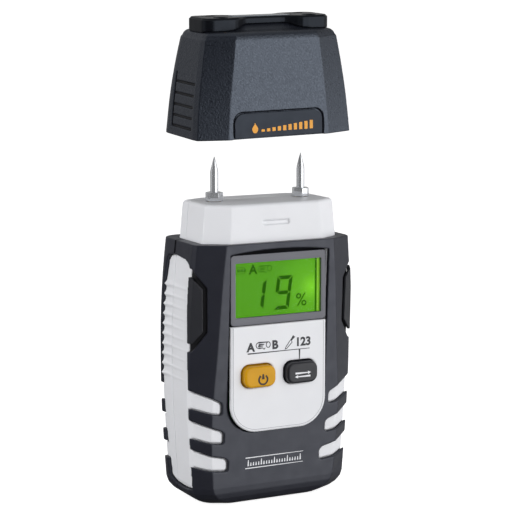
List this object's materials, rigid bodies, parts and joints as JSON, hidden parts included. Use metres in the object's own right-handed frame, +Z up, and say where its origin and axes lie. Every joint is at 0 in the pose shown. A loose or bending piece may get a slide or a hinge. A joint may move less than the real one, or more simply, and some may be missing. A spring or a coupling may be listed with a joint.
{
  "type": "moisture meter",
  "caption": "Handheld pin-type moisture meter with measuring pins, lit display, keys, battery bay and a pull-off protective cap.",
  "frame": {"origin": "centre of the flat base, on the plane of the two measuring pins", "axes": "+Z up along the handle towards the pins, -Y out of the display, +X to the user's right when facing the display"},
  "size_m": [0.066, 0.0365, 0.174],
  "materials": {
    "jacket": "satin",
    "core_white": "satin",
    "grip_rubber": "matte",
    "lens": "gloss",
    "lcd": "gloss",
    "diffuser": "satin",
    "black_plastic": "matte",
    "grey_rubber": "matte",
    "circuit": "satin",
    "amber_key": "satin",
    "grey_key": "satin",
    "chrome": "polished",
    "brass": "satin",
    "spring_steel": "satin",
    "cell_wrap": "gloss",
    "cap_plastic": "matte",
    "cap_strip": "gloss"
  },
  "bodies": {
    "handle": {"jacket_front": "jacket", "jacket_rear": "jacket", "housing_front": "core_white", "housing_rear": "core_white", "keypad_panel": "core_white", "grip_pad_left": "grip_rubber", "grip_pad_right": "grip_rubber", "display_lens": "lens", "lcd_glass": "lcd", "lcd_backlight": "diffuser", "lcd_frame": "black_plastic", "processor": "black_plastic", "buzzer": "black_plastic", "tact_switch_left": "black_plastic", "tact_switch_right": "black_plastic", "lcd_connector": "grey_rubber", "circuit_board": "circuit", "measuring_pin_left": "chrome", "measuring_pin_right": "chrome", "case_screw_1": "chrome", "case_screw_2": "chrome", "case_screw_3": "chrome", "case_screw_4": "chrome", "board_screw_1": "chrome", "board_screw_2": "chrome", "board_screw_3": "chrome", "board_screw_4": "chrome", "pin_socket_left": "brass", "pin_socket_right": "brass", "pin_lead_left": "spring_steel", "pin_lead_right": "spring_steel", "battery_spring_1": "spring_steel", "battery_spring_2": "spring_steel", "battery_spring_3": "spring_steel", "battery_contact_positive": "spring_steel", "battery_bridge_top": "spring_steel", "battery_bridge_bottom": "spring_steel", "battery_contact_negative": "spring_steel", "battery_1": "cell_wrap", "battery_2": "cell_wrap", "battery_3": "cell_wrap"},
    "cap": {"cap_shell": "cap_plastic", "cap_badge": "cap_plastic", "cap_crown": "cap_plastic", "cap_strip": "cap_strip", "test_contact_1": "brass", "test_contact_2": "brass", "test_contact_3": "brass", "test_contact_4": "brass", "cap_test_board": "circuit"},
    "power_key": {"power_button": "amber_key", "switch_plunger_left": "black_plastic"},
    "mode_key": {"mode_button": "grey_key", "switch_plunger_right": "black_plastic"},
    "battery_cover": {"battery_door": "jacket", "door_pad": "grey_rubber"}
  },
  "joints": [
    {"name": "cap_lift", "type": "hinge", "parent": "handle", "child": "cap", "pos_m": [-0.29075, -0.57014, 0.1017], "axis": [0.8908, -0.4543, 0], "range_deg": [-3.33, 1]},
    {"name": "power_press", "type": "slide", "parent": "handle", "child": "power_key", "axis": [0, 1, 0], "range_m": [0, 0.0007], "stiffness_N_per_m": 1500},
    {"name": "mode_press", "type": "slide", "parent": "handle", "child": "mode_key", "axis": [0, 1, 0], "range_m": [0, 0.0007], "stiffness_N_per_m": 1500},
    {"name": "battery_door_hinge", "type": "hinge", "parent": "handle", "child": "battery_cover", "pos_m": [0, 0.0168, 0.0142], "axis": [-1, 0, 0], "range_deg": [0, 80]}
  ]
}
